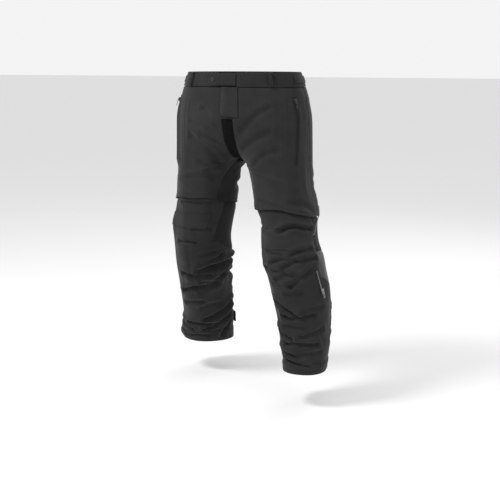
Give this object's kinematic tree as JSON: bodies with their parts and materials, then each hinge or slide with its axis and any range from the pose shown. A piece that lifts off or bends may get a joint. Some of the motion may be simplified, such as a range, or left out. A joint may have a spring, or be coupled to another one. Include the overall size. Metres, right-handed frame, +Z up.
{
  "type": "protective over-trousers",
  "caption": "Loose dark over-trousers with sewn panels, stretch gusset, padded knees, side zips, fly and cuffs, stored standing as worn.",
  "frame": {"origin": "middle of the waist opening, level with the top edge of the waistband", "axes": "+Z up out of the waist, the front faces -Y, the wearer's left is +X"},
  "size_m": [0.6445, 0.3999, 0.9729],
  "materials": {
    "shell_fabric": "matt woven nylon",
    "patch_fabric": "matt heavy weave",
    "stretch_fabric": "matt stretch knit",
    "side_fabric": "smooth coated cloth with a sheen",
    "band_fabric": "ribbed webbing",
    "lining_mesh": "fine mesh",
    "zip_tape": "woven tape",
    "armour_foam": "soft moulded",
    "zip_metal": "satin dark metal"
  },
  "bodies": {
    "hips": {"waistband_left": "band_fabric", "waistband_right": "band_fabric", "waistband_back": "stretch_fabric", "belt_loop_front_left": "band_fabric", "belt_loop_front_right": "band_fabric", "belt_loop_back": "band_fabric", "front_panel_left": "shell_fabric", "front_panel_right": "shell_fabric", "seat_panel_left": "shell_fabric", "seat_panel_right": "shell_fabric", "crotch_gusset": "stretch_fabric", "hip_lining_left": "lining_mesh", "hip_lining_right": "lining_mesh", "fly_tape_left": "zip_tape", "fly_tape_right": "zip_tape", "hip_zip_left_tape": "zip_tape", "hip_zip_right_tape": "zip_tape"},
    "waist_tab": {"waist_tab": "band_fabric", "snap_cap": "zip_metal"},
    "fly_flap": {"fly_flap": "shell_fabric"},
    "fly_slider": {"fly_slider": "zip_metal", "fly_pull": "zip_metal"},
    "take_up_strap_left": {"take_up_strap_left": "band_fabric"},
    "hip_zip_slider_left": {"hip_zip_left_slider": "zip_metal"},
    "hip_zip_pull_left": {"hip_zip_left_pull": "zip_metal"},
    "thigh_left": {"thigh_front_left": "shell_fabric", "thigh_back_left": "shell_fabric", "inner_thigh_strip_left": "stretch_fabric", "thigh_lining_left": "lining_mesh", "knee_bellows_left": "stretch_fabric"},
    "shank_left": {"shin_panel_left": "shell_fabric", "calf_panel_left": "shell_fabric", "side_panel_left": "side_fabric", "knee_patch_left": "patch_fabric", "knee_pad_left": "armour_foam", "shank_lining_left": "lining_mesh", "cuff_hem_left": "shell_fabric", "calf_zip_left_tape": "zip_tape"},
    "calf_zip_slider_left": {"calf_zip_left_slider": "zip_metal"},
    "calf_zip_pull_left": {"calf_zip_left_pull": "zip_metal"},
    "cuff_tab_left": {"cuff_tab_left": "band_fabric"},
    "take_up_strap_right": {"take_up_strap_right": "band_fabric"},
    "hip_zip_slider_right": {"hip_zip_right_slider": "zip_metal"},
    "hip_zip_pull_right": {"hip_zip_right_pull": "zip_metal"},
    "thigh_right": {"thigh_front_right": "shell_fabric", "thigh_back_right": "shell_fabric", "inner_thigh_strip_right": "stretch_fabric", "thigh_lining_right": "lining_mesh", "knee_bellows_right": "stretch_fabric"},
    "shank_right": {"shin_panel_right": "shell_fabric", "calf_panel_right": "shell_fabric", "side_panel_right": "side_fabric", "knee_patch_right": "patch_fabric", "knee_pad_right": "armour_foam", "shank_lining_right": "lining_mesh", "cuff_hem_right": "shell_fabric", "calf_zip_right_tape": "zip_tape"},
    "calf_zip_slider_right": {"calf_zip_right_slider": "zip_metal"},
    "calf_zip_pull_right": {"calf_zip_right_pull": "zip_metal"},
    "cuff_tab_right": {"cuff_tab_right": "band_fabric"}
  },
  "joints": [
    {"name": "waist_tab_fold", "type": "hinge", "parent": "hips", "child": "waist_tab", "pos_m": [0.03112, -0.12464, -0.023], "axis": [0, 0, 1], "range_deg": [0, 50]},
    {"name": "fly_flap_fold", "type": "hinge", "parent": "hips", "child": "fly_flap", "pos_m": [0.04157, -0.13356, -0.0974], "axis": [-0.0532, 0.0933, 0.9942], "range_deg": [0, 40]},
    {"name": "fly_zip_slide", "type": "slide", "parent": "hips", "child": "fly_slider", "axis": [0, -0.1006, -0.9949], "range_m": [0, 0.05]},
    {"name": "take_up_fold_left", "type": "hinge", "parent": "hips", "child": "take_up_strap_left", "pos_m": [0.19974, -0.0394, -0.023], "axis": [0, 0, -1], "range_deg": [0, 75]},
    {"name": "hip_zip_slide_left", "type": "slide", "parent": "hips", "child": "hip_zip_slider_left", "axis": [0.2671, -0.0554, -0.9621], "range_m": [0, 0.04]},
    {"name": "hip_zip_pull_left", "type": "hinge", "parent": "hip_zip_slider_left", "child": "hip_zip_pull_left", "pos_m": [0.21574, -0.06186, -0.08968], "axis": [-0.5637, -0.826, 0], "range_deg": [0, 130]},
    {"name": "hip_left", "type": "hinge", "parent": "hips", "child": "thigh_left", "pos_m": [0.105, 0, -0.18], "axis": [-1, 0, 0], "range_deg": [-15, 60]},
    {"name": "knee_left", "type": "hinge", "parent": "thigh_left", "child": "shank_left", "pos_m": [0.194, -0.044, -0.551], "axis": [0.9877, 0.1564, 0], "range_deg": [-8, 60], "deforming": ["knee_bellows_left"]},
    {"name": "calf_zip_slide_left", "type": "slide", "parent": "shank_left", "child": "calf_zip_slider_left", "axis": [-0.1942, -0.0373, 0.9803], "range_m": [0, 0.045]},
    {"name": "calf_zip_pull_left", "type": "hinge", "parent": "calf_zip_slider_left", "child": "calf_zip_pull_left", "pos_m": [0.32935, -0.09006, -0.6901], "axis": [-0.271, -0.9626, 0], "range_deg": [0, 130]},
    {"name": "cuff_tab_fold_left", "type": "hinge", "parent": "shank_left", "child": "cuff_tab_left", "pos_m": [0.28728, 0.03589, -0.9014], "axis": [-0.0683, -0.0542, -0.9962], "range_deg": [0, 75]},
    {"name": "take_up_fold_right", "type": "hinge", "parent": "hips", "child": "take_up_strap_right", "pos_m": [-0.19974, -0.0394, -0.023], "axis": [0, 0, 1], "range_deg": [0, 75]},
    {"name": "hip_zip_slide_right", "type": "slide", "parent": "hips", "child": "hip_zip_slider_right", "axis": [-0.2671, -0.0552, -0.9621], "range_m": [0, 0.04]},
    {"name": "hip_zip_pull_right", "type": "hinge", "parent": "hip_zip_slider_right", "child": "hip_zip_pull_right", "pos_m": [-0.21574, -0.06186, -0.08968], "axis": [-0.5637, 0.826, 0], "range_deg": [0, 130]},
    {"name": "hip_right", "type": "hinge", "parent": "hips", "child": "thigh_right", "pos_m": [-0.105, 0, -0.18], "axis": [-1, 0, 0], "range_deg": [-15, 60]},
    {"name": "knee_right", "type": "hinge", "parent": "thigh_right", "child": "shank_right", "pos_m": [-0.177, 0.032, -0.551], "axis": [0.809, -0.5878, 0], "range_deg": [-8, 60], "deforming": ["knee_bellows_right"]},
    {"name": "calf_zip_slide_right", "type": "slide", "parent": "shank_right", "child": "calf_zip_slider_right", "axis": [-0.0177, -0.416, 0.9092], "range_m": [0, 0.045]},
    {"name": "calf_zip_pull_right", "type": "hinge", "parent": "calf_zip_slider_right", "child": "calf_zip_pull_right", "pos_m": [-0.30336, 0.09579, -0.69796], "axis": [0.2138, 0.9769, 0], "range_deg": [0, 130]},
    {"name": "cuff_tab_fold_right", "type": "hinge", "parent": "shank_right", "child": "cuff_tab_right", "pos_m": [-0.20516, 0.23882, -0.89354], "axis": [0.0404, -0.1595, 0.9864], "range_deg": [0, 75]}
  ]
}
